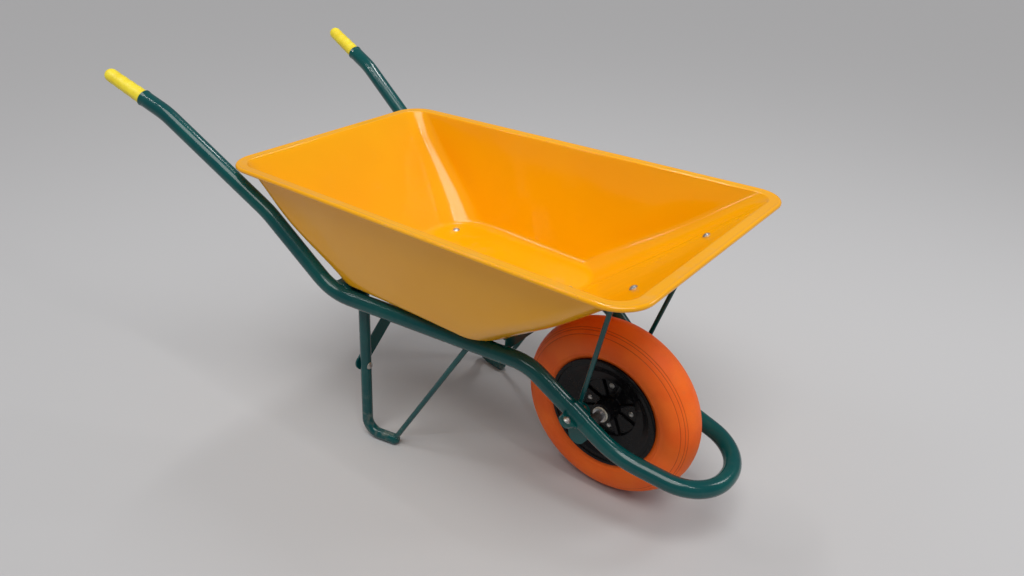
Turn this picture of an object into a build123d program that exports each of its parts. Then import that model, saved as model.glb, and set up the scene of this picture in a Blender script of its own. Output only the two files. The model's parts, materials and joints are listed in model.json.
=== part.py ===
"""Single-wheel site barrow: a bent tube frame, a pressed steel tray and a foam-filled wheel.

Millimetres.  +X points forward to the wheel, +Y to the barrow's left, +Z up.
The origin is on the ground, at the middle of the whole barrow's length and width.
Places along the barrow are given as a distance BEHIND the wheel axis (ahead is negative),
so that the wheel axis is the working datum, as it is on the bench.
"""

import os
from math import asin, atan2, cos, degrees, radians, sin, tan

from build123d import *

os.makedirs("parts", exist_ok=True)

# ------------------------------------------------------------------ wheel
tyre_radius = 200.0
tyre_width = 93.0
rim_lip_radius = 124.0
rim_seat_radius = 112.0
rim_wall = 4.0
rim_lip_reach = 41.0  # from the wheel's middle plane to the outside of the lip
rim_lip_width = 5.0
rim_ledge_drop = 4.0
rim_cup_radius = 70.0
rim_cup_mouth = 15.0  # from the middle plane to the mouth of the central cup
rim_web = 6.0
hub_radius = 24.0
hub_reach = 44.0
hub_ribs_per_screw = 2
hub_rib_width = 4.0
hub_rib_setback = 2.0  # below the mouth of the cup
hub_rib_bite = 1.0  # how far a rib runs into the cup's wall
rim_screw_count = 4
rim_screw_pitch_radius = 50.0

# ------------------------------------------------------------------ axle
axle_diameter = 16.0
running_clearance = 0.05
fit_clearance = 0.1
bush_wall = 4.0
bush_length = 30.0
bush_flange_diameter = 34.0
bush_flange = 3.0
axle_washer_diameter = 30.0
axle_washer = 2.0
wheel_end_float = 0.5
spacer_wall = 3.0

# ------------------------------------------------------------------ frame tube
tube_diameter = 36.0
tube_wall = 1.6
mouth_behind, mouth_height = 1058.0, tyre_radius + 529.0
handle_bend_behind, handle_bend_height, handle_bend_radius = 997.0, tyre_radius + 503.5, 169.0
shoulder_behind, shoulder_height, shoulder_radius = 736.0, tyre_radius + 325.0, 188.0
seat_bend_behind, seat_bend_height, seat_bend_radius = 578.5, tyre_radius + 170.0, 123.0
dip_behind, dip_height, dip_radius = 109.0, tyre_radius + 134.5, 105.0
nose_bend_ahead, nose_bend_height, nose_bend_radius = 83.0, tyre_radius - 16.5, 200.0
nose_ahead, nose_height, nose_corner_radius = tyre_radius + 67.0, tyre_radius - 55.3, 100.0
nose_half_span = 88.6
rail_taper = 0.170  # sideways spread of each rail for each mm towards the handles
mouth_bell_diameter = tube_diameter + 2.6
mouth_bell_length = 9.0

# ------------------------------------------------------------------ grips
grip_length = 115.0
grip_root_diameter = tube_diameter - 2.0
grip_end_diameter = 31.0
grip_insert = 7.0  # how far the grip's full diameter enters the belled mouth
grip_spigot_length = 45.0
grip_wall = 4.0

# ------------------------------------------------------------------ tray
tray_sheet = 1.0
foot_inset_share = 0.7  # a leaning wall's inner face moves in by this share of the sheet at its foot
top_inset_share = 1.4  # and by this share at its top
floor_rear_behind, floor_front_behind = 604.0, tyre_radius - 42.0
floor_rear_height, floor_front_height = tyre_radius + 188.0, tyre_radius + 173.0
floor_rear_half, floor_front_half = 222.0, 213.0
floor_corner_radius = 88.0
floor_bend_radius = 26.0
rim_rear_behind, rim_front_ahead = 817.0, 190.0
rim_rear_height, rim_front_height = tyre_radius + 428.0, tyre_radius + 421.0
rim_rear_half, rim_front_half = 292.0, 311.0
rim_corner_radius = 62.0
flange_width = 17.0
bead_diameter = 10.0
bead_sheet = 1.0
bead_gap = 3.0
rim_wire_diameter = 7.8

# ------------------------------------------------------------------ tray supports
channel_width = 45.0
channel_sheet = 3.0
rear_channel_behind, rear_channel_depth = 564.0, 30.0
front_channel_behind, front_channel_depth = floor_front_behind + 24.0, 27.0
channel_end_inset = 7.0  # from the rail's centreline to the channel's square end
rear_bolt_half_span = 160.0
front_bolt_half_span = 98.0

# ------------------------------------------------------------------ legs
leg_diameter = 25.0
leg_wall = 2.0
leg_splay = 20.0
leg_bend_radius = 34.0
foot_length = 75.0
leg_stay_diameter = 12.0
leg_stay_top_behind = 236.0
brace_width = 34.0
brace_thickness = 4.0
brace_leg_height = 190.0

# ------------------------------------------------------------------ axle brackets and front stays
clamp_behind = 3.5
clamp_length = 38.0
clamp_sheet = 3.0
clamp_ear_drop = 4.0
clamp_bolt_half_span = 30.0
clamp_ear_margin = 15.0
saddle_sheet = 4.0
lug_radius = 19.0
lug_width = 20.0
lug_inset = 10.0  # from the rail's centreline towards the wheel
lug_end_wall = 4.0
lug_root_behind, lug_root_ahead = 32.0, 38.0
front_stay_diameter = 10.0
stay_foot_behind, stay_foot_drop, stay_foot_inset = 8.0, -4.0, 18.0
stay_top_ahead, stay_top_half_span = 82.0, 168.0
stay_bar_width = 40.0
stay_bar_sheet = 3.0
stay_bar_ahead = 95.0
stay_bar_margin = 14.0
wall_bolt_ahead = 99.0
wall_bolt_half_span = 141.0

# ------------------------------------------------------------------ fasteners
bolt_diameter = 8.0
bolt_head_diameter = 17.0
bolt_head_height = 4.5
nut_flats = 13.0
nut_height = 6.5
washer_diameter = 18.0
washer_thickness = 1.6
thread_stickout = 3.0
small_bolt_diameter = 6.0
small_head_diameter = 12.5
small_head_height = 3.3
small_nut_flats = 10.0
small_nut_height = 5.0
hole_clearance = 0.3

# ------------------------------------------------------------------ worked-out sizes
tube_radius = tube_diameter / 2
leg_radius = leg_diameter / 2
axle_radius = axle_diameter / 2
bead_radius = bead_diameter / 2


def half_span(behind):
    """Distance of a rail's centreline from the middle plane, at a distance behind the axle."""
    return nose_half_span + rail_taper * (nose_ahead + behind)


handle_run = Vector(
    -(mouth_behind - handle_bend_behind),
    half_span(mouth_behind) - half_span(handle_bend_behind),
    mouth_height - handle_bend_height,
).normalized()
grip_end_radius = grip_end_diameter / 2
grip_tip_behind = mouth_behind + (grip_length - grip_end_radius) * -handle_run.X + grip_end_radius
wheel_x = (grip_tip_behind - nose_ahead - tube_radius) / 2
sides = ((-1, "right"), (1, "left"))


def place(behind, y, z):
    """A point from its distance behind the wheel axis."""
    return Vector(wheel_x - behind, y, z)


def rail_height(behind):
    """Height of the rail's centreline on its straight run over the axle."""
    share = (dip_behind - behind) / (dip_behind + nose_bend_ahead)
    return dip_height + (nose_bend_height - dip_height) * share


def seat_height(behind):
    """Height of the rail's centreline on the level run under the tray."""
    share = (seat_bend_behind - behind) / (seat_bend_behind - dip_behind)
    return seat_bend_height + (dip_height - seat_bend_height) * share


def along(start, end):
    """Unit vector from one point to another."""
    return (end - start).normalized()


def save(builder, name):
    """Label a finished piece and write its file."""
    builder.part.label = name
    export_step(builder.part, f"parts/{name}.step")


# ------------------------------------------------------------------ fastener shapes
def rod(seat, diameter, low, high):
    """Round bar along the seat plane's normal, between two distances from the plane."""
    with BuildPart() as bar:
        with BuildSketch(seat.offset(low)):
            Circle(diameter / 2)
        extrude(amount=high - low)
    return bar.part


def ring(seat, outer, inner, thickness):
    """Flat ring standing on the seat plane."""
    with BuildPart() as washer:
        with BuildSketch(seat):
            Circle(outer / 2)
            Circle(inner / 2, mode=Mode.SUBTRACT)
        extrude(amount=thickness)
    return washer.part


def hex_nut(seat, flats, height, bore):
    """Hexagon nut standing on the seat plane."""
    with BuildPart() as nut:
        with BuildSketch(seat):
            RegularPolygon(flats / 2, 6, major_radius=False)
            Circle(bore / 2, mode=Mode.SUBTRACT)
        extrude(amount=height)
    return nut.part


def cup_bolt(seat, length, diameter, head_diameter, head_height):
    """Cup-head bolt: the head stands on the seat plane and the shank runs the other way."""
    head_radius = head_diameter / 2
    dome = (head_radius**2 + head_height**2) / (2 * head_height)
    half_angle = degrees(asin(head_radius / dome))
    with BuildPart() as bolt:
        with BuildSketch(seat.offset(-length)):
            Circle(diameter / 2)
        extrude(amount=length)
        with BuildSketch(Plane(origin=seat.origin, x_dir=seat.x_dir, z_dir=-seat.y_dir)):
            with BuildLine():
                Line((0, 0), (head_radius, 0))
                CenterArc((0, head_height - dome), dome, 90 - half_angle, half_angle)
                Line((0, head_height), (0, 0))
            make_face()
        revolve(axis=Axis(seat.origin, seat.z_dir))
    return bolt.part


def drill(seat, diameter, reach):
    """Cutter for a clearance hole that reaches both ways from the seat plane."""
    return rod(seat, diameter + 2 * hole_clearance, -reach, reach)


def gather(pieces, name):
    """Write a group of loose pieces as one node."""
    with BuildPart() as group:
        add(pieces)
    save(group, name)


# ------------------------------------------------------------------ frame tube
def rail_points(side):
    """Corner points of one rail, from the handle's mouth to the nose."""
    stations = (
        (mouth_behind, mouth_height),
        (handle_bend_behind, handle_bend_height),
        (shoulder_behind, shoulder_height),
        (seat_bend_behind, seat_bend_height),
        (dip_behind, dip_height),
        (-nose_bend_ahead, nose_bend_height),
        (-nose_ahead, nose_height),
    )
    return [place(behind, side * half_span(behind), height) for behind, height in stations]


rail_radii = [
    handle_bend_radius,
    shoulder_radius,
    seat_bend_radius,
    dip_radius,
    nose_bend_radius,
    nose_corner_radius,
]


def mouth_plane(side):
    """Plane across the open end of a handle, looking out of it."""
    mouth = place(mouth_behind, side * half_span(mouth_behind), mouth_height)
    outward = Vector(handle_run.X, side * handle_run.Y, handle_run.Z)
    return Plane(origin=mouth, x_dir=outward.cross(Vector(0, 0, 1)), z_dir=outward)


# Solid bar the size of the tube, used to cope whatever is welded or clamped to it.
with BuildPart() as tube_bar:
    with BuildLine() as frame_path:
        corners = rail_points(-1) + rail_points(1)[::-1]
        FilletPolyline(*corners, radius=rail_radii + rail_radii[::-1])
    with BuildSketch(frame_path.line ^ 0):
        Circle(tube_radius)
    sweep(path=frame_path.line)

with BuildPart() as frame_tube:
    with BuildSketch(frame_path.line ^ 0):
        Circle(tube_radius)
        Circle(tube_radius - tube_wall, mode=Mode.SUBTRACT)
    sweep(path=frame_path.line)
    for side, _ in sides:
        with BuildSketch(mouth_plane(side)):
            Circle(mouth_bell_diameter / 2)
        with BuildSketch(mouth_plane(side).offset(-mouth_bell_length)):
            Circle(tube_radius)
        loft()
        with BuildSketch(mouth_plane(side)):
            Circle(grip_root_diameter / 2 + fit_clearance)
        extrude(amount=-grip_insert, mode=Mode.SUBTRACT)
        with BuildSketch(mouth_plane(side)):
            Circle(tube_radius - tube_wall)
        extrude(amount=-mouth_bell_length, mode=Mode.SUBTRACT)
save(frame_tube, "frame_tube")

# ------------------------------------------------------------------ grips
spigot_radius = tube_radius - tube_wall - fit_clearance
for side, name in sides:
    mouth = mouth_plane(side)
    section = Plane(origin=mouth.origin, x_dir=mouth.x_dir, z_dir=-mouth.y_dir)
    root_radius = grip_root_diameter / 2
    dome_start = grip_length - grip_end_radius
    with BuildPart() as grip:
        with BuildSketch(section):
            with BuildLine():
                Polyline(
                    (0, -grip_spigot_length),
                    (spigot_radius, -grip_spigot_length),
                    (spigot_radius, -grip_insert),
                    (root_radius, -grip_insert),
                    (root_radius, 0),
                    (grip_end_radius, dome_start),
                )
                CenterArc((0, dome_start), grip_end_radius, 0, 90)
                Line((0, grip_length), (0, -grip_spigot_length))
            make_face()
        revolve(axis=Axis(mouth.origin, mouth.z_dir))
        with BuildSketch(mouth.offset(-grip_spigot_length)):
            Circle(spigot_radius - grip_wall)
        extrude(amount=grip_spigot_length + dome_start - grip_wall, mode=Mode.SUBTRACT)
    save(grip, f"grip_{name}")

# ------------------------------------------------------------------ tray
floor_run = floor_rear_behind - floor_front_behind
floor_tilt = atan2(floor_rear_height - floor_front_height, floor_run)
rim_run = rim_rear_behind + rim_front_ahead
rim_tilt = atan2(rim_rear_height - rim_front_height, rim_run)


def sloping_plane(behind, height, tilt):
    """Plane that falls towards the front by the tilt, looking up."""
    return Plane(
        origin=place(behind, 0, height),
        x_dir=(cos(tilt), 0, -sin(tilt)),
        z_dir=(sin(tilt), 0, cos(tilt)),
    )


def floor_point_height(behind):
    """Height of the tray floor's underside."""
    return floor_rear_height - tan(floor_tilt) * (floor_rear_behind - behind)


floor_plane = sloping_plane(floor_rear_behind, floor_rear_height, floor_tilt)
rim_plane = sloping_plane(rim_rear_behind, rim_rear_height, rim_tilt)
floor_length = floor_run / cos(floor_tilt)
rim_length = rim_run / cos(rim_tilt)


def tapered_outline(start, length, rear_half, front_half, corner):
    """Rounded outline that is wider at one end, drawn in the open sketch."""
    Polygon(
        (start, -rear_half),
        (start + length, -front_half),
        (start + length, front_half),
        (start, rear_half),
        align=None,
    )
    fillet(vertices(), corner)


def rim_outline(inset):
    """The rolled edge's centreline, moved inwards, drawn in the open sketch."""
    tapered_outline(
        inset,
        rim_length - 2 * inset,
        rim_rear_half - inset,
        rim_front_half - inset,
        rim_corner_radius - inset,
    )


# The wire-filled rolled edge runs round the rim just below its flange.
bead_plane = rim_plane.offset(-bead_radius)
bead_section = Plane(
    origin=bead_plane.origin + bead_plane.x_dir * rim_length,
    x_dir=bead_plane.x_dir,
    z_dir=(0, 1, 0),
)
with BuildLine(bead_plane) as half_rim:
    FilletPolyline(
        (rim_length, 0), (rim_length, rim_front_half), (0, rim_rear_half), (0, 0),
        radius=rim_corner_radius,
    )

with BuildPart() as rolled_edge:
    with BuildSketch(bead_section):
        Circle(bead_radius)
        Circle(bead_radius - bead_sheet, mode=Mode.SUBTRACT)
        with Locations((-bead_radius, bead_gap)):
            Rectangle(bead_diameter, bead_gap, mode=Mode.SUBTRACT)
    sweep(path=half_rim.line)
    mirror(about=Plane.XZ)

with BuildPart() as rim_wire:
    with BuildSketch(bead_section):
        Circle(rim_wire_diameter / 2)
    sweep(path=half_rim.line)
    mirror(about=Plane.XZ)
save(rim_wire, "rim_wire")


def floor_bolt_plane(behind, y):
    """Seat of a bolt head on the tray floor's inside."""
    seat = sloping_plane(behind, floor_point_height(behind), floor_tilt)
    seat = seat.offset(tray_sheet)
    return Plane(origin=seat.origin + Vector(0, y, 0), x_dir=seat.x_dir, z_dir=seat.z_dir)


rear_floor_bolts = [
    floor_bolt_plane(rear_channel_behind, side * rear_bolt_half_span) for side, _ in sides
]
front_floor_bolts = [
    floor_bolt_plane(front_channel_behind, side * front_bolt_half_span) for side, _ in sides
]
floor_bolts = rear_floor_bolts + front_floor_bolts

# The front wall's outer face, as the run from the floor's edge up to the flange.
wall_foot = place(floor_front_behind, 0, floor_front_height)
wall_top = place(-(rim_front_ahead - flange_width), 0, rim_front_height)
wall_slope = atan2(wall_top.Z - wall_foot.Z, wall_top.X - wall_foot.X)
wall_outward = Vector(sin(wall_slope), 0, -cos(wall_slope))


def wall_plane(ahead, y):
    """Plane on the front wall's outer face, looking out of the tray."""
    rise = (wheel_x + ahead - wall_foot.X) * tan(wall_slope)
    origin = Vector(wheel_x + ahead, y, wall_foot.Z + rise)
    return Plane(origin=origin, x_dir=(0, 1, 0), z_dir=wall_outward)


wall_bolts = [wall_plane(wall_bolt_ahead, side * wall_bolt_half_span) for side, _ in sides]


def tray_form(inward, floor_inset, rim_inset):
    """Solid filling of the tray, drawn in from its outer skin."""
    with BuildPart() as form:
        with BuildSketch(floor_plane.offset(inward)):
            tapered_outline(
                floor_inset,
                floor_length - 2 * floor_inset,
                floor_rear_half - floor_inset,
                floor_front_half - floor_inset,
                floor_corner_radius - floor_inset,
            )
        with BuildSketch(rim_plane):
            rim_outline(flange_width + rim_inset)
        loft(ruled=True)
        fillet(faces().sort_by(Axis.Z)[0].edges(), floor_bend_radius - inward)
    return form.part


tray_skin = tray_form(0, 0, 0)
tray_hollow = tray_form(tray_sheet, tray_sheet * foot_inset_share, tray_sheet * top_inset_share)

with BuildPart() as tray:
    add(tray_skin)
    with BuildSketch(rim_plane):
        rim_outline(0)
    extrude(amount=-bead_sheet)
    add(tray_hollow, mode=Mode.SUBTRACT)
    add(rolled_edge.part)
    for seat in floor_bolts + wall_bolts:
        add(drill(seat, bolt_diameter, floor_bend_radius), mode=Mode.SUBTRACT)
save(tray, "tray")


# ------------------------------------------------------------------ tray supports
def channel(behind, depth, holes, name):
    """Pressed channel from rail to rail with its flat back under the tray floor."""
    top = sloping_plane(behind, floor_point_height(behind), floor_tilt)
    section = Plane(origin=top.origin, x_dir=top.x_dir, z_dir=(0, -1, 0))
    half_length = half_span(behind) - channel_end_inset
    with BuildPart() as member:
        with BuildSketch(section):
            Rectangle(channel_width, depth, align=(Align.CENTER, Align.MAX))
            with Locations((0, -channel_sheet)):
                Rectangle(
                    channel_width - 2 * channel_sheet,
                    depth,
                    align=(Align.CENTER, Align.MAX),
                    mode=Mode.SUBTRACT,
                )
        extrude(amount=half_length, both=True)
        add(tube_bar.part, mode=Mode.SUBTRACT)
        for seat in holes:
            add(drill(seat, bolt_diameter, channel_width / 2), mode=Mode.SUBTRACT)
    save(member, name)


# ------------------------------------------------------------------ legs
rear_channel_front_face = rear_channel_behind - channel_width / 2
leg_behind = rear_channel_front_face - brace_thickness - leg_radius
leg_top_height = floor_point_height(leg_behind) - channel_sheet
leg_top_half = half_span(leg_behind) - tube_radius - leg_radius
leg_foot_half = leg_top_half + leg_splay
foot_end_behind = leg_behind - foot_length
foot_end_half = leg_foot_half - rail_taper * foot_length


def leg_half(height):
    """Half spacing of the splayed legs at a height above the ground."""
    share = (leg_top_height - height) / (leg_top_height - leg_radius)
    return leg_top_half + leg_splay * share


def brace_seat(y, height):
    """Plane on the brace's front face, looking forward."""
    front = rear_channel_front_face - brace_thickness
    return Plane(origin=place(front, y, height), x_dir=(0, 1, 0), z_dir=(1, 0, 0))


brace_centre_height = floor_point_height(rear_channel_front_face) - brace_width / 2
centre_seat = brace_seat(0, brace_centre_height)
rear_holes = rear_floor_bolts + [centre_seat]
channel(rear_channel_behind, rear_channel_depth, rear_holes, "rear_crossmember")
channel(front_channel_behind, front_channel_depth, front_floor_bolts, "front_crossmember")

for side, name in sides:
    leg_top = place(leg_behind, side * leg_top_half, leg_top_height)
    leg_knee = place(leg_behind, side * leg_foot_half, leg_radius)
    foot_end = place(foot_end_behind, side * foot_end_half, leg_radius)
    with BuildPart() as leg_bar:
        with BuildLine() as leg_path:
            FilletPolyline(leg_top, leg_knee, foot_end, radius=leg_bend_radius)
        with BuildSketch(leg_path.line ^ 0):
            Circle(leg_radius)
        sweep(path=leg_path.line)
        with Locations(foot_end):
            Sphere(leg_radius)
    brace_bolt = brace_seat(side * leg_half(brace_leg_height), brace_leg_height)
    with BuildPart() as leg:
        add(leg_bar.part)
        with BuildSketch(leg_path.line ^ 0):
            Circle(leg_radius - leg_wall)
        sweep(path=leg_path.line, mode=Mode.SUBTRACT)
        add(drill(brace_bolt, bolt_diameter, leg_diameter * 2), mode=Mode.SUBTRACT)
        add(tube_bar.part, mode=Mode.SUBTRACT)
    save(leg, f"leg_{name}")

    stay_top = place(
        leg_stay_top_behind,
        side * half_span(leg_stay_top_behind),
        seat_height(leg_stay_top_behind),
    )
    with BuildPart() as leg_stay:
        with BuildSketch(Plane(origin=foot_end, z_dir=along(foot_end, stay_top))):
            Circle(leg_stay_diameter / 2)
        extrude(amount=(stay_top - foot_end).length)
        add(leg_bar.part, mode=Mode.SUBTRACT)
        add(tube_bar.part, mode=Mode.SUBTRACT)
    save(leg_stay, f"leg_stay_{name}")

brace_feet = [(side * leg_half(brace_leg_height), brace_leg_height) for side, _ in sides]
with BuildPart() as leg_brace:
    with BuildSketch(brace_seat(0, 0)):
        with BuildLine():
            Polyline(brace_feet[0], (0, brace_centre_height), brace_feet[1])
            offset(amount=brace_width / 2)
        make_face()
        with Locations(*brace_feet, (0, brace_centre_height)):
            Circle(bolt_diameter / 2 + hole_clearance, mode=Mode.SUBTRACT)
    extrude(amount=-brace_thickness)
save(leg_brace, "leg_brace")

# Bolts of the brace: through both legs, and through the channel's front wall.
brace_bolts = []
brace_nuts = []
for y, height in brace_feet:
    head_seat = brace_seat(y, height).offset(leg_diameter)
    nut_seat = brace_seat(y, height).offset(-brace_thickness)
    length = leg_diameter + brace_thickness + small_nut_height + thread_stickout
    brace_bolts.append(cup_bolt(head_seat, length, bolt_diameter, bolt_head_diameter, bolt_head_height))
    turned = Plane(origin=nut_seat.origin, x_dir=nut_seat.x_dir, z_dir=-nut_seat.z_dir)
    brace_nuts.append(hex_nut(turned, nut_flats, small_nut_height, bolt_diameter))
wall_lean = (brace_width / 2 + nut_flats) * sin(floor_tilt)  # of the channel's wall, down to the nut
inner_seat = centre_seat.offset(-brace_thickness - channel_sheet - wall_lean)
turned = Plane(origin=inner_seat.origin, x_dir=inner_seat.x_dir, z_dir=-inner_seat.z_dir)
length = brace_thickness + channel_sheet + small_nut_height + thread_stickout
brace_bolts.append(cup_bolt(centre_seat, length, bolt_diameter, bolt_head_diameter, bolt_head_height))
brace_nuts.append(hex_nut(turned, nut_flats, small_nut_height, bolt_diameter))
gather(brace_bolts, "brace_bolts")
gather(brace_nuts, "brace_nuts")

# ------------------------------------------------------------------ tray floor fasteners
floor_bolt_length = tray_sheet + channel_sheet + washer_thickness + nut_height + thread_stickout
floor_bolt_set = []
floor_washer_set = []
floor_nut_set = []
for seat in floor_bolts:
    under = seat.offset(-tray_sheet - channel_sheet)
    turned = Plane(origin=under.origin, x_dir=under.x_dir, z_dir=-under.z_dir)
    below = turned.offset(washer_thickness)
    floor_bolt_set.append(
        cup_bolt(seat, floor_bolt_length, bolt_diameter, bolt_head_diameter, bolt_head_height)
    )
    floor_washer_set.append(ring(turned, washer_diameter, bolt_diameter, washer_thickness))
    floor_nut_set.append(hex_nut(below, nut_flats, nut_height, bolt_diameter))
gather(floor_bolt_set, "tray_floor_bolts")
gather(floor_washer_set, "tray_floor_washers")
gather(floor_nut_set, "tray_floor_nuts")

# ------------------------------------------------------------------ front stays
stay_bar_length = 2 * (stay_top_half_span + stay_bar_margin)
bar_face = wall_plane(stay_bar_ahead, 0)
with BuildPart() as stay_crossbar:
    with BuildSketch(bar_face):
        SlotOverall(stay_bar_length, stay_bar_width)
    extrude(amount=stay_bar_sheet)
    for seat in wall_bolts:
        add(drill(seat, bolt_diameter, stay_bar_sheet * 2), mode=Mode.SUBTRACT)
save(stay_crossbar, "stay_crossbar")

wall_bolt_length = tray_sheet + stay_bar_sheet + nut_height + thread_stickout
wall_bolt_set = []
wall_nut_set = []
for seat in wall_bolts:
    inside = Plane(origin=seat.origin, x_dir=seat.x_dir, z_dir=-seat.z_dir).offset(tray_sheet)
    wall_bolt_set.append(
        cup_bolt(inside, wall_bolt_length, bolt_diameter, bolt_head_diameter, bolt_head_height)
    )
    wall_nut_set.append(hex_nut(seat.offset(stay_bar_sheet), nut_flats, nut_height, bolt_diameter))
gather(wall_bolt_set, "front_wall_bolts")
gather(wall_nut_set, "front_wall_nuts")


# ------------------------------------------------------------------ axle brackets
rail_down = Vector(nose_bend_ahead + dip_behind, 0, nose_bend_height - dip_height)


def clamp_plane(side):
    """Cross-section plane of a rail at its clamp, looking forward along the tube."""
    run = Vector(rail_down.X, -side * rail_taper * rail_down.X, rail_down.Z).normalized()
    centre = place(clamp_behind, side * half_span(clamp_behind), rail_height(clamp_behind))
    return Plane(origin=centre, x_dir=Vector(-run.Y, run.X, 0), z_dir=run)


def clamp_bolt_plane(side, along_width, level):
    """Plane square to a clamp bolt, at a level below the rail's centreline, looking up.

    The two bolts of a clamp stand in a line parallel to the axle.
    """
    section = clamp_plane(side)
    lead = -along_width * section.x_dir.X / section.z_dir.X
    origin = section.origin + section.x_dir * along_width + section.z_dir * lead
    origin -= section.y_dir * level
    return Plane(origin=origin, x_dir=section.x_dir, z_dir=section.y_dir)


ear_half = clamp_bolt_half_span + 2 * clamp_ear_margin


def clamp_ears(side, thickness):
    """Plate under a rail with a round ear about each bolt, upwards from the ears' plane."""
    middle = clamp_bolt_plane(side, 0, clamp_ear_drop)
    with BuildPart() as ears:
        with BuildSketch(middle):
            Rectangle(2 * tube_radius, clamp_length)
            for end in (-1, 1):
                bolt = clamp_bolt_plane(side, end * clamp_bolt_half_span, clamp_ear_drop).origin
                spot = middle.to_local_coords(bolt)
                with Locations((spot.X, spot.Y)):
                    Circle(clamp_ear_margin)
            make_hull()
        extrude(amount=thickness)
    return ears.part


axle_point = Vector(wheel_x, 0, tyre_radius)
bracket_bolt_set = []
bracket_nut_set = []
for side, name in sides:
    section = clamp_plane(side)
    bolt_spots = [
        clamp_bolt_plane(side, end * clamp_bolt_half_span, clamp_ear_drop) for end in (-1, 1)
    ]

    with BuildPart() as stay_foot:
        with BuildSketch(section):
            Circle(tube_radius + clamp_sheet)
            with Locations((0, -clamp_ear_drop)):
                Rectangle(
                    2 * ear_half,
                    2 * tube_diameter,
                    align=(Align.CENTER, Align.MAX),
                    mode=Mode.SUBTRACT,
                )
        extrude(amount=clamp_length / 2, both=True)
        add(clamp_ears(side, clamp_sheet))
        add(tube_bar.part, mode=Mode.SUBTRACT)
        for spot in bolt_spots:
            add(drill(spot, bolt_diameter, clamp_sheet * 2), mode=Mode.SUBTRACT)
    save(stay_foot, f"stay_foot_{name}")

    stay_start = place(
        stay_foot_behind,
        side * (half_span(stay_foot_behind) - stay_foot_inset),
        rail_height(stay_foot_behind) - stay_foot_drop,
    )
    stay_end = Vector(wheel_x + stay_top_ahead, side * stay_top_half_span, bar_face.origin.Z)
    with BuildPart() as front_stay:
        with BuildSketch(Plane(origin=stay_start, z_dir=along(stay_start, stay_end))):
            Circle(front_stay_diameter / 2)
        extrude(amount=(stay_end - stay_start).length + stay_bar_width)
        split(bisect_by=bar_face.offset(stay_bar_sheet), keep=Keep.TOP)
        add(stay_foot.part, mode=Mode.SUBTRACT)
        add(tube_bar.part, mode=Mode.SUBTRACT)
    save(front_stay, f"front_stay_{name}")

    lug_middle = side * (half_span(0) - lug_inset)
    lug_face = Plane(origin=Vector(0, lug_middle, 0), x_dir=(1, 0, 0), z_dir=(0, -1, 0))
    with BuildPart() as bracket:
        with BuildSketch(lug_face):
            with Locations((wheel_x, tyre_radius)):
                Circle(lug_radius)
            with BuildLine():
                Line(
                    (wheel_x - lug_root_behind, rail_height(lug_root_behind)),
                    (wheel_x + lug_root_ahead, rail_height(-lug_root_ahead)),
                )
            make_hull()
        extrude(amount=lug_width / 2, both=True)
        with BuildSketch(section):
            with Locations((0, -clamp_ear_drop)):
                Rectangle(2 * ear_half, 2 * tube_diameter, align=(Align.CENTER, Align.MIN))
        extrude(amount=2 * tube_diameter, both=True, mode=Mode.SUBTRACT)
        with BuildSketch(section):
            Circle(tube_radius + saddle_sheet)
            with Locations((0, -clamp_ear_drop)):
                Rectangle(
                    2 * ear_half,
                    2 * tube_diameter,
                    align=(Align.CENTER, Align.MIN),
                    mode=Mode.SUBTRACT,
                )
        extrude(amount=clamp_length / 2, both=True)
        add(clamp_ears(side, -saddle_sheet))
        add(tube_bar.part, mode=Mode.SUBTRACT)
        for spot in bolt_spots:
            add(drill(spot, bolt_diameter, saddle_sheet * 2), mode=Mode.SUBTRACT)
        mouth = Plane(
            origin=axle_point + Vector(0, lug_middle - side * lug_width / 2, 0),
            z_dir=(0, side, 0),
        )
        blind = rod(mouth, axle_diameter + 2 * fit_clearance, 0, lug_width - lug_end_wall)
        add(blind, mode=Mode.SUBTRACT)
    save(bracket, f"axle_bracket_{name}")

    for spot in bolt_spots:
        head_seat = spot.offset(clamp_sheet)
        under = spot.offset(-saddle_sheet)
        turned = Plane(origin=under.origin, x_dir=under.x_dir, z_dir=-under.z_dir)
        length = clamp_sheet + saddle_sheet + nut_height + thread_stickout
        bracket_bolt_set.append(
            cup_bolt(head_seat, length, bolt_diameter, bolt_head_diameter, bolt_head_height)
        )
        bracket_nut_set.append(hex_nut(turned, nut_flats, nut_height, bolt_diameter))
gather(bracket_bolt_set, "bracket_bolts")
gather(bracket_nut_set, "bracket_nuts")

# ------------------------------------------------------------------ axle, spacers and washers
lug_inner = half_span(0) - lug_inset - lug_width / 2
axle_half = lug_inner + lug_width - lug_end_wall - fit_clearance
across = Plane(origin=axle_point, x_dir=(1, 0, 0), z_dir=(0, 1, 0))
gather([rod(across, axle_diameter, -axle_half, axle_half)], "axle")

bush_face = hub_reach + bush_flange
washer_start = bush_face + wheel_end_float
spacer_start = washer_start + axle_washer
sleeve_bore = axle_diameter + 2 * fit_clearance
washer_set = []
for side, name in sides:
    facing = Plane(origin=axle_point, x_dir=(1, 0, 0), z_dir=(0, side, 0))
    washer_set.append(ring(facing.offset(washer_start), axle_washer_diameter, sleeve_bore, axle_washer))
    spacer = ring(
        facing.offset(spacer_start),
        sleeve_bore + 2 * spacer_wall,
        sleeve_bore,
        lug_inner - spacer_start,
    )
    gather([spacer], f"axle_spacer_{name}")
gather(washer_set, "axle_washers")

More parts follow.
